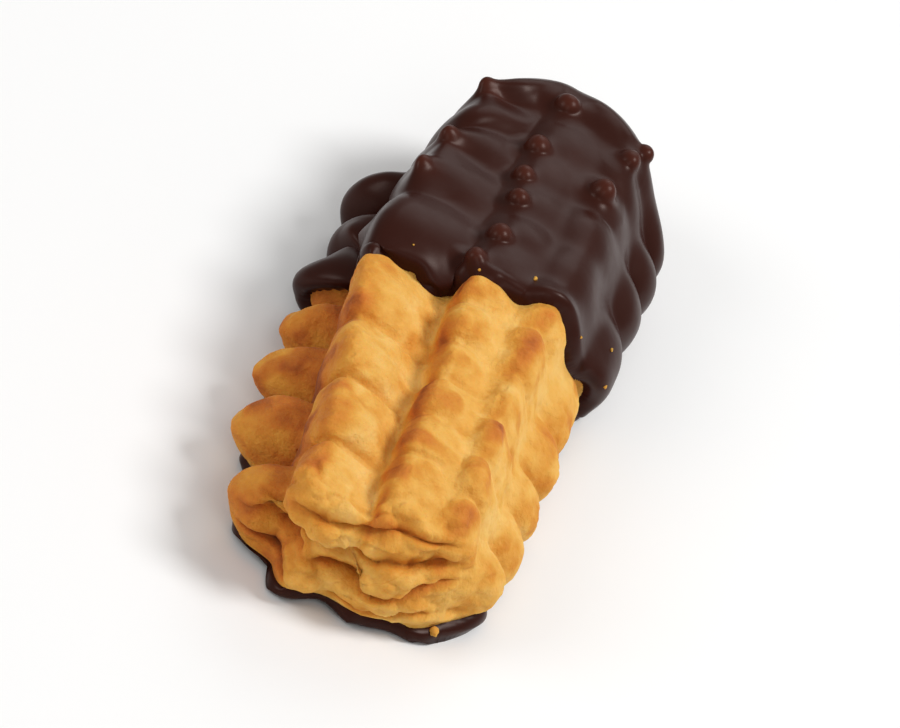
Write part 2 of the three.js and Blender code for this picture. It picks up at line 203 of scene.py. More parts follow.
# ---- Repeatable irregularity ------------------------------------------------------------------------
def smooth(v):
    v = np.clip(v, 0, 1)
    return v * v * (3 - 2 * v)


def mix(a, b, share):
    return a + (b - a) * share


def bump(distance, width, power=2):
    return np.exp(-np.abs(distance / width) ** power)


def hashed(n):
    """A number between 0 and 1 that looks random but is the same for the same n."""
    v = np.sin(np.asarray(n, float) * 127.1 + 311.7) * 43758.5453
    return v - np.floor(v)


def wander(x, seed):
    """A smooth wave between -1 and 1 through a random value at each whole number."""
    cell = np.floor(x)
    start = hashed(cell + seed * 57) * 2 - 1
    stop = hashed(cell + 1 + seed * 57) * 2 - 1
    return mix(start, stop, smooth(x - cell))


def wander2(x, y, seed):
    """The same over a plane."""
    row = np.floor(y)
    return mix(wander(x, seed + row * 3), wander(x, seed + row * 3 + 3), smooth(y - row))


def lattice(i, j, k, seed):
    """A random number between 0 and 1 at each whole point of space."""
    n = i * 374761393 + j * 668265263 + k * 2147483647 + seed * 144665
    n = (n ^ (n >> 13)) * 1274126177
    n = n ^ (n >> 16)
    return (n & 0xFFFFFF) / 0xFFFFFF


def noise(points, size, seed):
    """Smooth noise between -1 and 1 through space, in lumps of the given size."""
    p = points / size
    cell = np.floor(p)
    u, v, w = np.moveaxis(smooth(p - cell), -1, 0)
    i, j, k = np.moveaxis(cell.astype(np.int64), -1, 0)
    total = 0
    for di in (0, 1):
        for dj in (0, 1):
            for dk in (0, 1):
                weight = (u if di else 1 - u) * (v if dj else 1 - v) * (w if dk else 1 - w)
                total = total + weight * lattice(i + di, j + dj, k + dk, seed)
    return total * 2 - 1


def domes(points, size, seed):
    """Round lumps packed through space: 1 in the middle of each and about 0 in the clefts between them."""
    p = points / size
    cell = np.floor(p)
    highest = np.full(p.shape[:-1], -1.0)
    steps = (-1, 0, 1)
    for step in [(i, j, k) for i in steps for j in steps for k in steps]:
        corner = cell + np.array(step)
        i, j, k = np.moveaxis(corner.astype(np.int64), -1, 0)
        middle = corner + np.stack([lattice(i, j, k, seed + n) for n in range(3)], axis=-1)
        highest = np.maximum(highest, 1 - np.sum((p - middle) ** 2, axis=-1))
    return highest


class Grain:
    """Noise of one kind: its height, the size of its lumps, its seed, and its layers, each half as high."""

    def __init__(self, height, size, seed, layers=1):
        self.height, self.size, self.seed, self.layers = height, size, seed, layers

    def at(self, points, turn=0):
        """The noise at the points. Another turn gives another draw of the same kind."""
        seed = self.seed + turn
        total = sum(0.5**n * noise(points, self.size / 2**n, seed + n) for n in range(self.layers))
        return self.height * total


class Lumps:
    """Round lumps of one kind: their height, size and seed, the level that they rise from, and a floor."""

    def __init__(self, height, size, seed, level, floor=-math.inf):
        self.height, self.size, self.seed, self.level, self.floor = height, size, seed, level, floor

    def at(self, points):
        return self.height * np.maximum(domes(points, self.size, self.seed) - self.level, self.floor)


# ---- Section ----------------------------------------------------------------------------------------
def off_knuckle(ridge, x):
    """The nearest knuckle to each x, and how far off it is: 0 on its middle, 1 in the notch beside it."""
    k = ridge.knuckles
    distance = np.abs(x[:, None] - k[None, :])
    nearest = distance.argmin(axis=1)
    beyond = np.where(x > k[nearest], nearest - 1, nearest + 1)
    inside = (beyond >= 0) & (beyond < len(k))
    gap = np.abs(k[np.clip(beyond, 0, len(k) - 1)] - k[nearest])
    spacing = np.where(inside, gap, PAST_LAST_KNUCKLE)
    return nearest, np.minimum(1, 2 * distance.min(axis=1) / (spacing * ridge.width))


def fullness(ridge, x, soften):
    """How full a knuckle is at each x: about 1 on its middle and 0 in its notches."""
    nearest, off = off_knuckle(ridge, x)
    size = KNUCKLE_SIZE + KNUCKLE_SPREAD * hashed(ridge.seed + nearest * 13)
    return size * (1 - off**ridge.blunt) ** mix(ridge.steep, SOFT_STEEP, soften)


def reach_at(ridge, x, soften):
    """How far the ridge reaches out at each x."""
    calm = np.where((x > ridge.calm[0]) & (x < ridge.calm[1]), CALM_SHARE, 1)
    relief = (ridge.reach - ridge.notch) * calm * (1 - SOFT_RELIEF * soften)
    return ridge.reach - relief * (1 - fullness(ridge, x, soften))


def slid(slide, x):
    """How far a ridge or flute lies to the right of its place in the dipped half."""
    return slide * smooth((x - SLIDE_FROM) / (SLIDE_TO - SLIDE_FROM))


def filled(rise, distance, length):
    """How much a flute has filled up at a distance from an end."""
    return rise * smooth(1 - distance / length)


def crest_points(ridge, x, soften):
    sway = RIDGE_SWAY * wander(x / RIDGE_SWAY_LENGTH, ridge.seed)
    bow = ridge.bow * bump(x, BOW_LENGTH) + slid(ridge.slide, x)
    reach = reach_at(ridge, x, soften)
    y = ridge.y + bow - ridge.out[1] * sway + ridge.out[0] * reach
    z = ridge.z + ridge.out[0] * sway + ridge.out[1] * reach
    return np.stack([y, z], axis=-1)


def flute_points(flute, x, soften, seed):
    sway = FLUTE_SWAY * wander(x / FLUTE_SWAY_LENGTH, seed)
    beside = fullness(RIDGES[flute["beside"]], x, soften)
    swollen = flute["swell"] * (beside - 0.6) + flute["fill"] * soften
    swollen = swollen + filled(DIPPED_FILL, x - DIPPED_END, DIPPED_FILL_LENGTH)
    swollen = swollen + filled(BARE_FILL, BARE_END - x, BARE_FILL_LENGTH)
    y = flute["y"] + slid(flute["slide"], x) + sway
    return np.stack([y, flute["z"] + 0.5 * sway + swollen], axis=-1)


def foot_points(crest):
    half = mix(FOOT, np.abs(crest[:, 0]), FOOT_FOLLOW)
    return np.stack([np.sign(crest[:, 0]) * half, np.full(len(crest), BASE)], axis=-1)


def side_points(start, stop, bulge):
    """The middle of a ridge's side, pushed out by its bulge."""
    along = stop - start
    out = np.stack([along[:, 1], -along[:, 0]], axis=-1) / np.linalg.norm(along, axis=1, keepdims=True)
    return (start + stop) / 2 + out * bulge[:, None]


def spline(corners, steps):
    """A Catmull-Rom curve through each row of corners, with so many steps between two of them."""
    count = corners.shape[1]
    along = np.arange((count - 1) * steps + 1) / steps
    start = np.minimum(along.astype(int), count - 2)
    t = (along - start)[None, :, None]
    before = corners[:, np.maximum(start - 1, 0)]
    a, b = corners[:, start], corners[:, start + 1]
    after = corners[:, np.minimum(start + 2, count - 1)]
    v0, v1 = (b - before) / 2, (after - a) / 2
    return (2 * a - 2 * b + v0 + v1) * t**3 + (3 * b - 3 * a - 2 * v0 - v1) * t**2 + v0 * t + a


def sections(x, soften):
    """The outline of the section at each x, as [y, z], from the right foot over the top and back below."""
    crests = [crest_points(ridge, x, soften) for ridge in RIDGES]
    flutes = [flute_points(flute, x, soften, FLUTE_SEED + i) for i, flute in enumerate(FLUTES)]
    lows = [foot_points(crests[0]), *flutes, foot_points(crests[-1])]
    corners = [lows[0]]
    for i, (ridge, crest) in enumerate(zip(RIDGES, crests)):
        swell = fullness(ridge, x, soften)
        right = side_points(lows[i], crest, ridge.bulge[0] * swell)
        left = side_points(crest, lows[i + 1], ridge.bulge[1] * swell)
        corners += [right, crest, left, lows[i + 1]]
    corners = np.stack(corners, axis=1)
    share = np.arange(1, UNDER_STEPS)[None, :, None] / UNDER_STEPS
    under = mix(corners[:, -1:], corners[:, :1], share)
    return np.concatenate([spline(corners, CURVE_STEPS), under], axis=1)


# ---- Ends -------------------------------------------------------------------------------------------
def closing(distance, length, square):
    """The share of its full size that a side keeps at a distance from the end's tip."""
    return (1 - np.clip(1 - distance / length, 0, 1) ** square) ** (1 / square)


def drawn_in(reach, full, share):
    """A reach drawn in to a share of its full size. Small ones stay until the large ones meet them."""
    share = np.maximum(share, 1e-6)
    outer = 1 + np.abs(reach / full) ** BLUNTNESS
    inner = 1 + np.abs(reach / (full * share)) ** BLUNTNESS
    return reach * (outer / inner) ** (1 / BLUNTNESS)


def close_end(outline, distance, corner):
    distance = distance[:, None]
    across, up = outline[..., 0] - NOSE_Y, outline[..., 1] - NOSE_Z
    side_length = np.where(across > 0, corner["right"], corner["left"])
    top_length = mix(corner["top_left"], corner["top_right"], smooth(across / 10 + 0.4))
    level_length = np.where(up > 0, top_length, corner["foot"])
    side = closing(distance, side_length, corner["square"])
    level = closing(distance, level_length, LEVEL_SQUARE)
    y = NOSE_Y + drawn_in(across, HALF_WIDTH, side)
    z = NOSE_Z + drawn_in(up, np.where(up > 0, RISE, NOSE_Z - BASE), level)
    return np.stack([y, z], axis=-1)


def tapered(outline, x):
    """The outlines with the bare end's top sloping down towards its face."""
    drop = TAPER_DROP * smooth((x - BARE_END + TAPER_LENGTH) / TAPER_LENGTH) ** TAPER_POWER
    above = np.maximum(0, outline[..., 1] - NOSE_Z)
    return np.stack([outline[..., 0], outline[..., 1] - above * drop[:, None]], axis=-1)


def set_back(y, distance, back):
    """How far a point at y lies behind its end's nose, where the nose is so far off along the bar."""
    across = y - NOSE_Y
    share = 1 - bump(across / BACK_WIDTH, 1)
    return np.where(across > 0, back["right"], back["left"]) * share * smooth(1 - distance / back["length"])


def torn_off(x, y, z):
    """How far the bare face bulges out at each point, in lumps and ledges over a foot of lobes."""
    closeness = smooth(1 - (BARE_END - x) / CRAG_LENGTH)
    height = smooth((z - BASE - 1) / 3)
    lump = wander2(y / CRAG_GRAIN, z / (CRAG_GRAIN * CRAG_FLATNESS), CRAG_SEED)
    lobe = np.cos(2 * math.pi * (y - LOBE_Y) / LOBE_WIDTH) * smooth(1.3 - z / LOBE_HEIGHT)
    return closeness * (CRAG_DEPTH * height * (0.5 * lump - 0.35) + LOBE_DEPTH * lobe)


def placed(points):
    """The points with both ends curved in plan, the bare face torn and the dipped end bent to the right."""
    x, y, z = np.moveaxis(points, -1, 0)
    x = x - set_back(y, BARE_END - x, BARE_BACK) + set_back(y, x - DIPPED_END, DIPPED_BACK)
    x = x + torn_off(x, y, z)
    return np.stack([x, y + BEND * np.clip(-x / BEND_LENGTH, 0, 1) ** 2, z], axis=-1)


def form(x, soften):
    """The biscuit's plain form: a ring of points at each x. The chocolate drapes over a softened one."""
    outline = tapered(sections(x, soften), x)
    outline = close_end(outline, BARE_END - x, BARE_CORNER)
    outline = close_end(outline, x - DIPPED_END, DIPPED_CORNER)
    along = np.broadcast_to(x[:, None, None], outline.shape[:2] + (1,))
    return placed(np.concatenate([along, outline], axis=-1))


# ---- Nets of points ---------------------------------------------------------------------------------
def stations(*bands):
    """The x of each ring: evenly through each (from, to, step) band, and crowded towards both tips."""
    inset = END_LENGTH * (np.arange(1, END_RINGS + 1) / END_RINGS) ** END_CROWDING
    dipped, bare = DIPPED_END + inset, BARE_END - inset
    even = np.concatenate([np.arange(*band) for band in bands])
    between = even[(even > dipped.max()) & (even < bare.min())]
    return np.unique(np.concatenate([dipped, bare, between]))


def capped(rings):
    """All points of the rings, between the tips of both ends."""
    tips = rings[[0, -1]].mean(axis=1)
    return np.concatenate([tips[:1], rings.reshape(-1, 3), tips[1:]])


def over_rings(values):
    """The value of each ring at all of its points, and 0 at the tips."""
    return np.concatenate([[0], np.repeat(values, len(AROUND)), [0]])


def faces_of(count, around):
    """The faces over a count of rings, as four corners each. A face at a tip has the tip twice."""

    def at(ring, i):
        return 1 + ring * around + i % around

    ring, i = np.meshgrid(np.arange(count - 1), np.arange(around), indexing="ij")
    body = np.stack([at(ring, i), at(ring, i + 1), at(ring + 1, i + 1), at(ring + 1, i)], axis=-1)
    i = np.arange(around)
    first, last = np.zeros(around, int), np.full(around, 1 + count * around)
    start = np.stack([first, first, at(0, i + 1), at(0, i)], axis=-1)
    end = np.stack([at(count - 1, i), at(count - 1, i + 1), last, last], axis=-1)
    return np.concatenate([start, body.reshape(-1, 4), end])


def normals_of(points, faces):
    a, b, c, d = np.moveaxis(points[faces], 1, 0)
    facing = np.cross(c - a, d - b)
    total = np.zeros_like(points)
    for k in range(4):
        np.add.at(total, faces[:, k], facing)
    return total / np.maximum(np.linalg.norm(total, axis=1, keepdims=True), 1e-12)


def ring_normals(rings, faces):
    return normals_of(capped(rings), faces)[1:-1].reshape(rings.shape)


def relaxed(rings, turns, share):
    """The rings with each point drawn towards the middle of its four neighbours, again and again."""
    share = share[..., None]
    for _ in range(turns):
        beside = (np.roll(rings, 1, axis=1) + np.roll(rings, -1, axis=1)) / 2
        tips = np.broadcast_to(rings[[0, -1]].mean(axis=1, keepdims=True), (2, *rings.shape[1:]))
        along = np.concatenate([tips[:1], rings, tips[1:]])
        along = (along[:-2] + along[2:]) / 2
        rings = rings + share * ((beside + along) / 2 - rings)
    return rings


# ---- The dough's relief, in millimetres -------------------------------------------------------------
# Widths round the section are counted as in AROUND, where a crest and a flute are 1 apart.
DOUGH_SMOOTHING, DOUGH_TURNS = 0.6, 5
RELIEF_MARGIN, RELIEF_FADE = 0.2, 1.2  # how far off the chocolate it starts, and over what length it grows
TUCKED_IN = 0.25  # how far the dough draws in where it doesn't show
LEAN_WIDTH = 0.7  # how far round a knuckle's lean reaches
LEAN_START, LEAN_GROWTH = 3, 4  # how far from the bare end the lean starts, and over what length it grows
LEAN_DIP_START, LEAN_DIP_GROWTH = 0.5, 3.5  # the same from the dip line
CREST_WIDTH = 0.42  # how far round the roughness of its crest reaches
CREASE_LENGTH, CREASE_REACH = 0.45, 0.85  # how far along, and how far round, a crease reaches
CREASE_PATCHES = Grain(1, 2.2, 63)
SWELLS = Grain(0.3, 3.2, 11, layers=2)
CRUMB = Grain(0.07, 0.9, 21, layers=3)
PORES, PORE_DEPTH = Grain(1, 0.65, 61), 0.3
CREST_LUMPS = Lumps(0.45, 1.9, 31, level=0.65, floor=-0.3)
CREST_CRUMBS = Lumps(0.14, 0.9, 36, level=0.65)

# The torn face is full over a length from the bare end, then fades. It grows upward from the base, and with
# how far its normal points along the bar. It is weaker at the right, and ends at the left.
FACE_LENGTH, FACE_FADE = 4, 10
FACE_RISE = 1.5
FACE_TURN, FACE_TURN_RANGE = 0.15, 0.4
FACE_RIGHT_SHARE, FACE_RIGHT_FROM, FACE_RIGHT_FADE = 0.5, 1, 6
FACE_LEFT_EDGE, FACE_LEFT_FADE = -15, 4
FOLD_HEIGHT = 2.7  # from one torn fold of the bare face to the next
FOLD_WAVES = Grain(0.7, 5.5, 77), Grain(0.22, 1.9, 76)
FOLD_BREAKS = Grain(1.2, 3.6, 75)
FOLD_DEPTH, DEEPEST_CRAG = 1.6, -1.8
CRAG_STRETCH = (1.2, 1.4, 0.9)
CRAG_LUMPS = Lumps(1.7, 2.4, 77, level=0.75), Lumps(0.8, 1.2, 78, level=0.65)
CRAG_SWELLS = Grain(0.4, 4.5, 79)


def leaned(rings, x):
    """The rings with each bare knuckle leaning towards the bare end, so that its near side is steep."""
    shift = 0
    for i, ridge in enumerate(RIDGES):
        strength = ridge.lean * fullness(ridge, x, 0) * smooth((BARE_END - LEAN_START - x) / LEAN_GROWTH)
        strength = strength * smooth((x - DIP_LINE - LEAN_DIP_START) / LEAN_DIP_GROWTH)
        shift = shift + strength[:, None] * bump(AROUND - (2 * i + 1), LEAN_WIDTH)[None, :]
    rings = rings.copy()
    rings[..., 0] += shift
    return rings


def crease_of(ridge, x):
    """How near each x is to a notch between two knuckles: 1 in the notch, 0 a millimetre off."""
    k = ridge.knuckles
    notches = (k[1:] + k[:-1]) / 2
    return bump(np.abs(x[:, None] - notches[None, :]).min(axis=1), CREASE_LENGTH)


def dough_relief(points, around, full, creases):
    """How far the baked dough stands out of its plain form."""
    relief = SWELLS.at(points) + CRUMB.at(points)
    torn = CREST_LUMPS.at(points) + CREST_CRUMBS.at(points)
    for i, ridge in enumerate(RIDGES):
        shift = around - (2 * i + 1)
        relief = relief + bump(shift, CREST_WIDTH) * (ridge.edge * full[i] + ridge.torn * torn)
        patchy = smooth(0.8 + CREASE_PATCHES.at(points, i))
        relief = relief - ridge.crease * creases[i] * patchy * bump(shift, CREASE_REACH, 4)
    return relief - PORE_DEPTH * np.maximum(0, PORES.at(points) - 0.5)


def torn_share(points, x, normals):
    """How much of the bare end's torn face each point has, from its ring's x and the way that it faces."""
    y, z = points[:, 1], points[:, 2]
    near = smooth(1 - (BARE_END - FACE_LENGTH - x) / FACE_FADE) * smooth((z - BASE) / FACE_RISE)
    facing = smooth((normals[:, 0] - FACE_TURN) / FACE_TURN_RANGE)
    across = mix(1, FACE_RIGHT_SHARE, smooth((y - FACE_RIGHT_FROM) / FACE_RIGHT_FADE))
    return near * facing * across * smooth((y - FACE_LEFT_EDGE) / FACE_LEFT_FADE)


def ledges(points):
    """Torn dough in rough level folds: 1 on the round of each, 0 in the clefts between them."""
    level = points[:, 2] / FOLD_HEIGHT + FOLD_WAVES[0].at(points) + FOLD_WAVES[1].at(points)
    fold = 1 - np.abs(2 * (level - np.floor(level)) - 1) ** 3
    return mix(1, fold, smooth(0.5 + FOLD_BREAKS.at(points)))


def crags(points, fold):
    """How far the torn face stands out, in folds with lumps on them."""
    stretched = points / np.array(CRAG_STRETCH)
    lumps = CRAG_LUMPS[0].at(stretched) + CRAG_LUMPS[1].at(stretched)
    return np.maximum(FOLD_DEPTH * (fold - 0.7) + lumps, DEEPEST_CRAG) + CRAG_SWELLS.at(points)


# ---- How brown the dough is, from toast and painted shade: 0 in the palest flute, 1 on the brownest crest ---
PALEST = 0.2
BROWNEST = 1.3
CLOUDS = Grain(0.2, 4.5, 41, layers=2)
SPECKS = Grain(0.14, 1.4, 47)
SPOTS, SPOT_TOAST = Grain(1, 2.3, 49), 0.26
CREST_PATCHES = Grain(1.1, 2.4, 43)
LEFT_TOAST_AND_SHADE_PATCHES = Grain(0.5, 2.6, 51)
SPOT_PATCHES = Grain(0.4, 1.6, 57)
FOLD_SPECKS = Grain(0.35, 2.6, 83)
# How much browner than its flutes each ridge is on its crest, from toast, and on its left side, from toast
# and painted shade, and how far round.
CRUST_TOAST_AND_LEFT_SHADE = [(0.42, 0.26), (0.6, 0.5), (0.42, 0.72), (0.42, 0.45), (0.42, 0.3)]
CREST_TOAST_WIDTH, LEFT_TOAST_AND_SHADE_AT, LEFT_TOAST_AND_SHADE_WIDTH = 0.34, 0.4, 0.3
# The left flank, browner from toast and painted shade, painted shade in its notches between the fingers,
# and painted shadow at the roots of its fingers.
FLANK_TOAST_AND_SHADE, NOTCH_SHADE, ROOT_SHADOW = 0.3, 0.5, 0.5
ROOT_SHADOW_AT, FINGER_SHADE_AT, FINGER_SHADE_WIDTH = 8.1, 8.7, 1.3
# The torn face: what it is all over, how far that hides the toast of the ridges, and how its folds differ:
# paler on their rounds, with painted shade in the clefts between them.
FACE_TOAST, FACE_SHARE, FACE_ADDED, FOLD_SHADE = 0.52, 0.7, 0.1, -0.55
# Patches that the oven toasted more: x, y, half length, half width, depth.
TOASTED = [
    (32.5, 3.4, 3, 3.2, 0.34),
    (27, -3.2, 4, 1.3, 0.25),
    (2, -9.6, 3, 1.6, 0.3),
    (35, -10, 3, 2.5, 0.15),
    (31.3, -9.3, 2.5, 1.1, 0.6),
    (21, -9.6, 2.5, 1.1, 0.3),
    (12, -9.6, 2.5, 1.1, 0.3),
]


def toast_and_shade_of(points, around, full):
    """How brown the crust is from toast and painted shade, apart from what the torn face changes."""
    x, y = points[:, 0], points[:, 1]
    toast_and_shade = PALEST + CLOUDS.at(points) + SPECKS.at(points)
    toast_and_shade = toast_and_shade + SPOT_TOAST * smooth((SPOTS.at(points) - 0.15) / 0.4)
    for i, (crest, left) in enumerate(CRUST_TOAST_AND_LEFT_SHADE):
        shift = around - (2 * i + 1)
        patch = np.clip(0.45 + CREST_PATCHES.at(points, i), 0, 1)
        toast_and_shade = toast_and_shade + crest * bump(shift, CREST_TOAST_WIDTH) * smooth(full[i]) * patch
        # The left side of each ridge, which faces away from the light, is browner: partly toast, partly
        # painted shade.
        side = bump(shift - LEFT_TOAST_AND_SHADE_AT, LEFT_TOAST_AND_SHADE_WIDTH)
        toast_and_shade = toast_and_shade + left * side * (0.6 + LEFT_TOAST_AND_SHADE_PATCHES.at(points, i))
    # Painted shade in the notches between the left flank's fingers and painted shadow at their roots; the
    # left flank is browner from toast and painted shade.
    finger_shade = NOTCH_SHADE * (1 - smooth(full[-1] * 1.6)) + ROOT_SHADOW * bump(around - ROOT_SHADOW_AT, 0.5)
    finger_shade = finger_shade * smooth(-(y + 6) / 4) * bump(around - FINGER_SHADE_AT, FINGER_SHADE_WIDTH, 6)
    toast_and_shade = toast_and_shade + FLANK_TOAST_AND_SHADE * smooth(-(y + 9) / 4) + finger_shade
    for middle_x, middle_y, length, width, depth in TOASTED:
        spot = ((x - middle_x) / length) ** 2 + ((y - middle_y) / width) ** 2
        toast_and_shade = toast_and_shade + depth * np.exp(-spot) * (0.8 + SPOT_PATCHES.at(points))
    return toast_and_shade


def biscuit():
    """The points and faces of the baked dough, and how brown each point is from toast and painted shade."""
    x = stations((DIPPED_END, HIDDEN_TO, HIDDEN_STEP), (HIDDEN_TO, BARE_END, CRUST_STEP))
    rings = leaned(form(x, np.zeros(len(x))), x)
    rings = relaxed(rings, DOUGH_TURNS, np.full(rings.shape[:2], DOUGH_SMOOTHING))
    faces = faces_of(*rings.shape[:2])
    points = capped(rings)
    around = np.concatenate([[LAST_FOOT], np.tile(AROUND, len(x)), [LAST_FOOT]])
    full = [over_rings(fullness(ridge, x, 0)) for ridge in RIDGES]
    creases = [over_rings(crease_of(ridge, x)) for ridge in RIDGES]
    normals = normals_of(points, faces)
    torn = torn_share(points, over_rings(x), normals)
    fold = ledges(points)
    relief = dough_relief(points, around, full, creases) + torn * crags(points, fold)
    shown = smooth((points[:, 2] - BASE) / RELIEF_FADE)
    shown = shown * smooth((-RELIEF_MARGIN - inside_chocolate(points)) / RELIEF_FADE)
    raised = points + normals * (relief * shown - TUCKED_IN * (1 - shown))[:, None]
    # Painted shade in the clefts between the torn folds, paler on their rounds, over random specks.
    mottled_and_shaded = FACE_ADDED + FOLD_SHADE * (fold - 0.6) + FOLD_SPECKS.at(points)
    toast_and_shade = mix(toast_and_shade_of(points, around, full), FACE_TOAST, FACE_SHARE * torn) + torn * mottled_and_shaded
    return raised, faces, np.clip(toast_and_shade, 0, BROWNEST)


# ---- Chocolate, in millimetres ----------------------------------------------------------------------
EDGE_WAVES, EDGE_WAVE_LENGTH, EDGE_SEED = 0.5, 2.4, 5  # how ragged the edge over the top is
LIP_WAVES, LIP_WAVE_LENGTH, LIP_SEED = 0.4, 4.2, 6
LEFT_TO_RIGHT = 16  # the width across which the edge goes from its place at the left to that at the right
SETBACK_UP_TO, SETBACK_FADE, SETBACK_POWER = 2, 10, 1.5  # its set-back is full to a height, then fades
EDGE_ROUND, EDGE_START = 0.9, 0.25  # the length over which the edge rounds off, and where in that it starts
EDGE_BEAD, EDGE_BEAD_AT, EDGE_BEAD_WIDTH = 0.28, 1.3, 0.9  # the bead behind it
LIP_CHANGE = 12  # the width across which the lip gets thicker
FLANK_FADE = 3  # the length over which the flanks' coat thins down to the lip
UNDER_TURN, UNDER_TURN_RANGE = 0.5, 0.4  # how far down a normal points where the under coat begins
SOFT_BEYOND, SOFT_FADE = 1, 3  # how far beyond the dip line the form softens, and over what length
ROUNDED_END, ROUNDED_FADE, ROUNDED_SHARE, ROUNDED_TURNS = 4, 3, 0.7, 150  # how the dipped end is smoothed
SMOOTHING, SMOOTHING_TURNS, FLANK_SMOOTHING = 0.7, 110, 0.2  # how the glaze levels out over the notches
TOP_FROM, TOP_TO = 1.2, 8.8  # where round the section the flanks end and begin
LEAST_THICKNESS, LAST_SMOOTHING, LAST_TURNS = 0.42, 0.5, 6
COVER_MARGIN, COVER_FADE = 0.4, 1.5  # how far inside its edge the glaze starts to level out
COVER_FOOT, COVER_FOOT_FADE = 0.1, 0.8  # the same above the base
SUNK_SHARE = 0.85  # of SINK, below which no face is kept
RIPPLES = Grain(0.08, 4.5, 81, layers=2)
# A bead, in its own radii: how wide its dome is, how far off the glaze is level again, how much it stands
# up, how near a point has to be to move, and how far its red reaches.
BEAD_DOME, BEAD_REACH, BEAD_LIFT, BEAD_NEAR, BEAD_RED = 1.1, 2.4, 0.4, 3.5, 1.3


def inside_chocolate(points):
    """How far each point lies inside the chocolate's edge: behind the dip line, or under the lip."""
    x, y, z = np.moveaxis(points, -1, 0)
    rightness = smooth(y / LEFT_TO_RIGHT + 0.5)
    lowness = smooth(1 - (z - SETBACK_UP_TO) / SETBACK_FADE)
    ragged = EDGE_WAVES * wander(y / EDGE_WAVE_LENGTH, EDGE_SEED)
    setback = mix(DIP_SETBACK_LEFT, DIP_SETBACK_RIGHT, rightness)
    edge = DIP_LINE - DIP_SLANT * y - setback * lowness**SETBACK_POWER + ragged
    climb = mix(LIP_LEFT, LIP_RIGHT, rightness)
    lip = climb + LIP_WAVES * wander(x / LIP_WAVE_LENGTH + np.sign(y) * 40, LIP_SEED)
    return np.maximum(edge - x, lip - z)


def edge_profile(inside):
    """The share of the chocolate's thickness at a depth inside its edge: a round bead, then level."""
    rise = np.clip(inside / EDGE_ROUND + EDGE_START, 0, 1)
    return np.sqrt(1 - (1 - rise) ** 2) + EDGE_BEAD * bump(inside - EDGE_BEAD_AT, EDGE_BEAD_WIDTH)


def chocolate_depth(points, out, inside):
    """How far the chocolate's skin lies above the plain form, or below it beyond the chocolate's edge."""
    lip = mix(LIP_THIN, LIP_THICK, smooth(points[..., 1] / LIP_CHANGE + 0.5))
    flank = mix(COAT_FLANK, lip, smooth((points[..., 0] - DIP_LINE) / FLANK_FADE))
    over = mix(flank, COAT_TOP, smooth(out[..., 2]))
    full = mix(over, COAT_UNDER, smooth((-out[..., 2] - UNDER_TURN) / UNDER_TURN_RANGE))
    return mix(-SINK, full, edge_profile(inside))


def bead_profile(distance, radius, steep):
    """Where a bead moves a point that lay so far from its middle: the new distance, and the height."""
    edge, reach = BEAD_DOME * radius, BEAD_REACH * radius
    turn = steep * np.minimum(distance / edge, 1)
    t = np.clip((distance - edge) / (reach - edge), 0, 1)
    settle = (1 - t) ** 2 * (1 + 2 * t)
    leave, arrive = t * (1 - t) ** 2, t * t * (t - 1)
    away = settle * radius * np.sin(turn) + (1 - settle) * reach
    away = away + leave * radius * math.cos(steep) + arrive * radius
    height = settle * radius * (np.cos(turn) - math.cos(steep) + BEAD_LIFT)
    height = height - leave * radius * math.sin(steep)
    return np.where(t < 1, away, distance), np.where(t < 1, height, 0)


def beaded(skin, place, out, radius, steep):
    """The skin with a bead standing on it, and how far each point belongs to the bead."""
    offset = skin - place
    level = offset - (offset @ out)[..., None] * out
    distance = np.linalg.norm(level, axis=-1)
    near = np.linalg.norm(offset, axis=-1) < BEAD_NEAR * radius
    away, height = bead_profile(distance, radius, steep)
    moved = skin + level * (away / np.maximum(distance, 1e-6) - 1)[..., None] + out * height[..., None]
    return np.where(near[..., None], moved, skin), np.where(near, bump(distance, BEAD_RED * radius, 4), 0)


def bead_places(rings, normals, plain, x):
    """The place and direction of each bead, its radius and how steep it is."""
    for i, ridge in enumerate(RIDGES):
        for middle, sideways, radius, steep in ridge.beads:
            crest = plain[np.abs(x - middle).argmin(), (4 * i + 2) * CURVE_STEPS]
            off = np.hypot(rings[..., 0] - crest[0], rings[..., 1] - crest[1] - sideways)
            off = np.where(normals[..., 2] < 0, math.inf, off)
            at = np.unravel_index(off.argmin(), off.shape)
            yield rings[at], normals[at], radius, steep


def draped_form(x):
    """The form that the chocolate covers: softened in the dip, and smoothed at the dipped end."""
    rings = form(x, smooth((DIP_LINE + SOFT_BEYOND - x) / SOFT_FADE))
    end = x < DIPPED_END + ROUNDED_END
    share = ROUNDED_SHARE * smooth((DIPPED_END + ROUNDED_END - x[end]) / ROUNDED_FADE)
    rings[end] = relaxed(rings[end], ROUNDED_TURNS, np.broadcast_to(share[:, None], rings[end].shape[:2]))
    return rings


def settled(skin, plain, normals, covered):
    """The skin levelled out over the notches, but nowhere too thin, and rippled."""
    on_top = smooth(AROUND - TOP_FROM) * smooth(TOP_TO - AROUND)
    skin = relaxed(skin, SMOOTHING_TURNS, SMOOTHING * covered * mix(FLANK_SMOOTHING, 1, on_top))
    thickness = np.sum((skin - plain) * normals, axis=-1)
    skin = skin + normals * (np.maximum(0, LEAST_THICKNESS - thickness) * covered)[..., None]
    skin = relaxed(skin, LAST_TURNS, LAST_SMOOTHING * covered)
    return skin + normals * (RIPPLES.at(skin) * covered)[..., None]


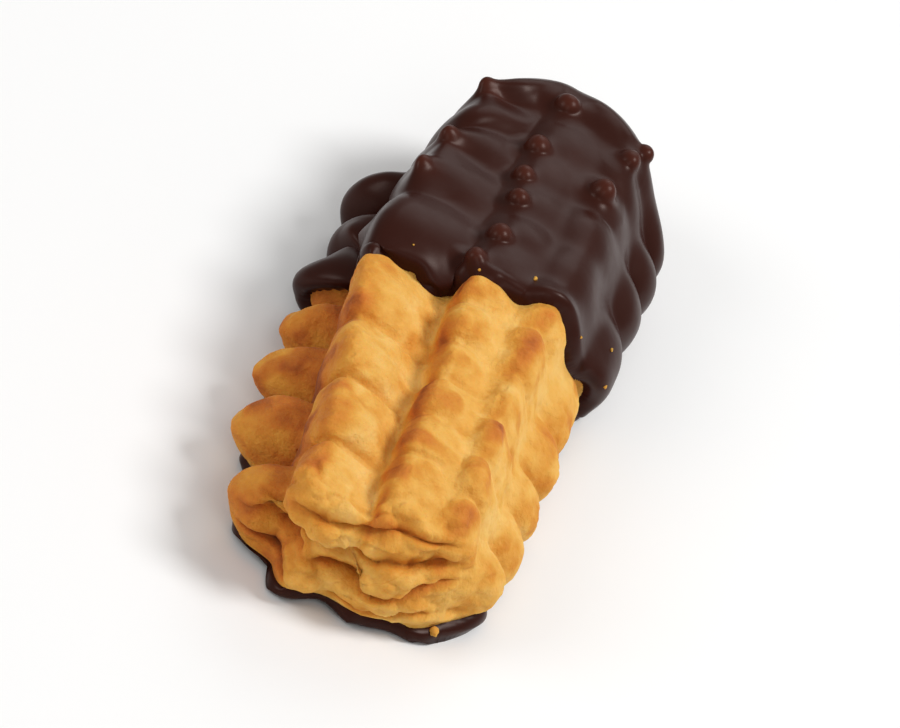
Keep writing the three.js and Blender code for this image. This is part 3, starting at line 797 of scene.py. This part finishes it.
def chocolate():
    """The points of the glaze, its faces that aren't sunk in the dough, and how reddish each point is."""
    x = stations((DIPPED_END, GLAZE_TO, GLAZE_STEP), (GLAZE_TO, BARE_END, UNDER_STEP))
    plain = draped_form(x)
    faces = faces_of(*plain.shape[:2])
    normals = ring_normals(plain, faces)
    inside = inside_chocolate(plain)
    depth = chocolate_depth(plain, normals, inside)
    covered = smooth((inside - COVER_MARGIN) / COVER_FADE)
    covered = covered * smooth((plain[..., 2] - BASE - COVER_FOOT) / COVER_FOOT_FADE)
    skin = settled(plain + normals * depth[..., None], plain, normals, covered)
    reddish = np.zeros(skin.shape[:2])
    for place, out, radius, steep in list(bead_places(skin, ring_normals(skin, faces), plain, x)):
        skin, share = beaded(skin, place, out, radius, steep)
        reddish = np.maximum(reddish, share)
    skin[..., 2] = np.maximum(skin[..., 2], 0)
    sunk = np.concatenate([[False], (depth < -SUNK_SHARE * SINK).ravel(), [True]])
    kept = faces[~sunk[faces].all(axis=1)]
    return capped(skin), kept, np.concatenate([[0], reddish.ravel(), [0]])


# ---- Crumbs -----------------------------------------------------------------------------------------
# The crumbs that lie in a known place: x, y, z and size.
PLACED_CRUMBS = [(35.4, 8.6, 1.6, 1.1), (-5.4, 13.2, 5.5, 0.5), (-8, 12.6, 7.5, 0.4), (-3.6, 3.4, 13, 0.45)]
ABOVE_LIP = 3  # height above which the glaze is that of the dipped half
STRAY_CRUMBS, STRAY_SEED = 4, 5
STRAY_REACH, STRAY_ABOVE = 2.5, 8  # how far inside the glaze's edge they lie, and above what height
SMALLEST_STRAY, LARGEST_STRAY = 0.2, 0.42
CRUMB_LIFT = 0.15  # share of its size by which a crumb's middle lies above the glaze
CRUMB_ROUGHNESS = Grain(0.45, 0.9, 91, layers=2)
CRUMB_SHAPE = (1, 0.8, 0.65)
CRUMB_RINGS, CRUMB_SIDES = 6, 12


def crumb(size, seed):
    """A small rough lump round the origin."""
    tilt = np.linspace(0, math.pi, CRUMB_RINGS + 2)[1:-1, None]
    turn = np.linspace(0, 2 * math.pi, CRUMB_SIDES + 1)[None, :-1]
    along = np.broadcast_to(-np.cos(tilt), (CRUMB_RINGS, CRUMB_SIDES))
    rings = np.stack([along, np.sin(tilt) * np.cos(turn), np.sin(tilt) * np.sin(turn)], axis=-1)
    points = capped(rings)
    points = points * (size / 2 * (1 + CRUMB_ROUGHNESS.at(points + seed)))[:, None]
    return points * np.array(CRUMB_SHAPE), faces_of(*rings.shape[:2])


def crumb_places(glaze, used):
    """Where each crumb lies on the glaze, and its size. The stray ones lie near its edge over the top."""
    draw = np.random.default_rng(STRAY_SEED)
    shown = glaze[np.unique(used)]
    shown = shown[shown[:, 2] > ABOVE_LIP]
    for *place, size in PLACED_CRUMBS:
        surface = shown if place[2] > ABOVE_LIP else glaze
        yield surface[np.linalg.norm(surface - np.array(place), axis=1).argmin()], size
    near = shown[(inside_chocolate(shown) < STRAY_REACH) & (shown[:, 2] > STRAY_ABOVE)]
    for _ in range(STRAY_CRUMBS):
        yield near[draw.integers(len(near))], draw.uniform(SMALLEST_STRAY, LARGEST_STRAY)


def crumbs(glaze, used):
    """The points and faces of all crumbs."""
    points, faces = [], []
    for number, (ground, size) in enumerate(crumb_places(glaze, used)):
        lump, sides = crumb(size, 7 * number)
        faces.append(sides + sum(len(done) for done in points))
        points.append(lump + ground + np.array([0, 0, CRUMB_LIFT * size]))
    return np.concatenate(points), np.concatenate(faces)


# ---- Objects ----------------------------------------------------------------------------------------
def mesh_object(name, points, faces, attributes, material):
    """A smooth mesh from points in millimetres, with the points that no face uses left out."""
    used, faces = np.unique(faces, return_inverse=True)
    faces = faces.reshape(-1, 4)
    corners = [list(dict.fromkeys(face)) for face in faces.tolist()]
    mesh = bpy.data.meshes.new(name)
    mesh.from_pydata((points[used] * MM).tolist(), [], corners)
    for key, values in attributes.items():
        data = mesh.attributes.new(key, "FLOAT", "POINT").data
        data.foreach_set("value", values[used].astype(np.float32))
    mesh.polygons.foreach_set("use_smooth", [True] * len(mesh.polygons))
    mesh.materials.append(material)
    mesh.update()
    piece = bpy.data.objects.new(name, mesh)
    bpy.context.scene.collection.objects.link(piece)
    return piece


# ---- Materials --------------------------------------------------------------------------------------
# The colours of a ramp are given as a place on it and a display colour from 0 to 255.
DOUGH_COLOURS = [
    (0.0, (234, 187, 103)),
    (0.23, (227, 170, 78)),
    (0.42, (215, 147, 53)),
    (0.62, (203, 123, 40)),
    (0.8, (184, 101, 33)),
    (1.0, (140, 69, 25)),
]
CHOCOLATE_COLOURS = [(0.0, (50, 22, 16)), (0.5, (59, 27, 20)), (1.0, (70, 32, 23))]
FLOOR_COLOUR = (0.9, 0.9, 0.9, 1)


class Nodes:
    """Builds a material's nodes: each call adds one and links or sets its inputs."""

    def __init__(self, name):
        self.material = bpy.data.materials.new(name)
        self.material.use_nodes = True
        self.tree = self.material.node_tree
        self.shader = self.tree.nodes["Principled BSDF"]

    def add(self, kind, settings=None, **inputs):
        node = self.tree.nodes.new(kind)
        for key, value in (settings or {}).items():
            setattr(node, key, value)
        for key, value in inputs.items():
            self.put(node.inputs[key.replace("_", " ")], value)
        return node

    def put(self, socket, value):
        if isinstance(value, bpy.types.NodeSocket):
            self.tree.links.new(value, socket)
        else:
            socket.default_value = value

    def math(self, operation, a, b, clamp=False):
        node = self.add("ShaderNodeMath", dict(operation=operation, use_clamp=clamp))
        self.put(node.inputs[0], a)
        self.put(node.inputs[1], b)
        return node.outputs[0]

    def noise(self, scale, detail=2, roughness=0.5):
        place = self.add("ShaderNodeTexCoord").outputs["Object"]
        node = self.add("ShaderNodeTexNoise", Vector=place, Scale=scale, Detail=detail, Roughness=roughness)
        return node.outputs["Fac"]

    def cloud(self, height, scale, detail, roughness=0.5):
        """Noise to either side of 0."""
        middled = self.math("SUBTRACT", self.noise(scale, detail, roughness), 0.5)
        return self.math("MULTIPLY", middled, height)

    def attribute(self, name):
        return self.add("ShaderNodeAttribute", dict(attribute_name=name)).outputs["Fac"]

    def ramp(self, value, stops):
        node = self.add("ShaderNodeValToRGB", Fac=value)
        elements = node.color_ramp.elements
        while len(elements) < len(stops):
            elements.new(0.5)
        for element, (position, colour) in zip(elements, stops):
            element.position = position
            element.color = (*linear(colour), 1)
        return node.outputs["Color"]

    def bumps(self, *layers):
        """Bumps one over the other, each (height, strength, distance in metres)."""
        normal = None
        for height, strength, distance in layers:
            node = self.add("ShaderNodeBump", Height=height, Strength=strength, Distance=distance)
            if normal is not None:
                self.put(node.inputs["Normal"], normal)
            normal = node.outputs["Normal"]
        return normal

    def finish(self, **inputs):
        for key, value in inputs.items():
            self.put(self.shader.inputs[key.replace("_", " ")], value)
        return self.material


def linear(colour):
    """A display colour from 0 to 255 as linear light."""
    return tuple(((c / 255 + 0.055) / 1.055) ** 2.4 for c in colour)


def dough_material():
    n = Nodes("baked_dough")
    grain = n.cloud(0.5, 900, 4, 0.6)
    cloud = n.cloud(0.45, 220, 3)
    toast_and_shade = n.math("ADD", n.math("ADD", n.attribute("toast_and_shade"), grain), cloud)
    lumps = n.noise(1100, 3, 0.55)
    crumb_grain = n.noise(2600, 3, 0.6)
    sand = n.noise(6500, 2, 0.6)
    return n.finish(
        Base_Color=n.ramp(n.math("DIVIDE", toast_and_shade, BROWNEST), DOUGH_COLOURS),
        Roughness=0.78, Specular_IOR_Level=0.3,
        Subsurface_Weight=0.25, Subsurface_Radius=(1.0, 0.45, 0.15), Subsurface_Scale=0.0015,
        Normal=n.bumps((lumps, 0.75, 0.0004), (crumb_grain, 0.65, 0.00016), (sand, 0.5, 0.00008)),
    )


def chocolate_material():
    n = Nodes("dark_chocolate")
    red = n.math("ADD", n.attribute("reddish"), n.cloud(0.6, 180, 3), clamp=True)
    rough = n.math("ADD", n.math("MULTIPLY", n.noise(420, 3), 0.14), 0.25)
    return n.finish(
        Base_Color=n.ramp(red, CHOCOLATE_COLOURS),
        Roughness=rough, Specular_IOR_Level=0.13, Specular_Tint=(1, 0.82, 0.75, 1),
        Normal=n.bumps((n.noise(260, 2), 0.12, 0.0006), (n.noise(1500, 2), 0.06, 0.0001)),
    )


def floor_material():
    return Nodes("pale_floor").finish(Base_Color=FLOOR_COLOUR, Roughness=0.45, Specular_IOR_Level=0.3)


# ---- Stage, in degrees and metres -------------------------------------------------------------------
VIEW_AZIMUTH, VIEW_ELEVATION, VIEW_ROLL = 85.6, 35.2, 27.5
VIEW_DISTANCE = 1.2
VIEW_SHIFT_RIGHT, VIEW_SHIFT_UP = -0.0007, -0.0027
VIEW_WIDTH = 0.0811
SENSOR = 36
# Each light's name, the way from the part to it, its width and its power.
LIGHTS = [
    ("key", (-0.12, 0.6, 0.79), 0.3, 4.2),
    ("front", (0.7, 0.1, 0.6), 0.4, 0.65),
    ("left", (0.35, -0.75, 0.55), 0.4, 1.7),
    ("back", (-0.8, 0.1, 0.58), 0.5, 0.8),
]
LIGHT_DISTANCE = 0.8
WORLD_COLOUR, WORLD_STRENGTH = (1, 0.985, 0.96, 1), 0.34
FLOOR_HALF = 4


def camera_axes():
    """The camera's directions to the right, up and back."""
    a, e = math.radians(VIEW_AZIMUTH), math.radians(VIEW_ELEVATION)
    back = Vector((math.sin(a) * math.cos(e), -math.cos(a) * math.cos(e), math.sin(e)))
    level = Vector((0, 0, 1)).cross(back).normalized()
    turn = Matrix.Rotation(math.radians(VIEW_ROLL), 3, back)
    right = turn @ level
    return right, back.cross(right), back


def framed_camera(target):
    """A long lens that takes in VIEW_WIDTH at the target."""
    right, up, back = camera_axes()
    data = bpy.data.cameras.new("camera")
    data.sensor_width = SENSOR
    data.lens = SENSOR * VIEW_DISTANCE / VIEW_WIDTH
    camera = bpy.data.objects.new("camera", data)
    turn = Matrix((right, up, back)).transposed()
    target = target + right * VIEW_SHIFT_RIGHT + up * VIEW_SHIFT_UP
    camera.matrix_world = Matrix.Translation(target + back * VIEW_DISTANCE) @ turn.to_4x4()
    bpy.context.scene.collection.objects.link(camera)
    bpy.context.scene.camera = camera


def softbox(name, place, size, power, target):
    data = bpy.data.lights.new(name, "AREA")
    data.shape = "DISK"
    data.size, data.energy = size, power
    light = bpy.data.objects.new(name, data)
    away = (place - target).normalized()
    light.matrix_world = Matrix.Translation(place) @ away.to_track_quat("Z", "Y").to_matrix().to_4x4()
    bpy.context.scene.collection.objects.link(light)


def studio(target):
    for name, way, size, power in LIGHTS:
        softbox(name, target + LIGHT_DISTANCE * Vector(way), size, power, target)
    world = bpy.data.worlds.new("studio")
    world.use_nodes = True
    surround = world.node_tree.nodes["Background"]
    surround.inputs["Color"].default_value = WORLD_COLOUR
    surround.inputs["Strength"].default_value = WORLD_STRENGTH
    bpy.context.scene.world = world
    bpy.context.scene.view_settings.view_transform = "Standard"


def floor():
    mesh = bpy.data.meshes.new("floor")
    sides = ((-1, -1), (1, -1), (1, 1), (-1, 1))
    mesh.from_pydata([(x * FLOOR_HALF, y * FLOOR_HALF, 0) for x, y in sides], [], [(0, 1, 2, 3)])
    mesh.materials.append(floor_material())
    plane = bpy.data.objects.new("floor", mesh)
    bpy.context.scene.collection.objects.link(plane)


# ---- The part ---------------------------------------------------------------------------------------
CRUMB_TOAST = 0.5


def middle_shift(points):
    """From the form's own millimetres to the frame, where the whole stands over the origin."""
    low, high = (np.array(corner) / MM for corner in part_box("biscuit"))
    across = (low[1] + high[1] - points[:, 1].min() - points[:, 1].max()) / 2
    return np.array([low[0] - DIPPED_END, across, 0])


def dressed():
    points, faces, toast_and_shade = biscuit()
    shift = middle_shift(points)
    dough = mesh_object("baked_biscuit", points + shift, faces, dict(toast_and_shade=toast_and_shade), dough_material())
    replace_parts(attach(dough, "root"), "biscuit")
    points, faces, reddish = chocolate()
    coat = mesh_object("dark_glaze", points + shift, faces, dict(reddish=reddish), chocolate_material())
    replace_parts(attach(coat, "root"), "chocolate_coat")
    points, faces = crumbs(points, faces)
    toast_and_shade = np.full(len(points), CRUMB_TOAST)
    loose = mesh_object("stray_crumbs", points + shift, faces, dict(toast_and_shade=toast_and_shade), dough.data.materials[0])
    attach(loose, "root")


dressed()
floor()
middle = (Vector(CAD_BOX[0]) + Vector(CAD_BOX[1])) / 2
framed_camera(middle)
studio(middle)
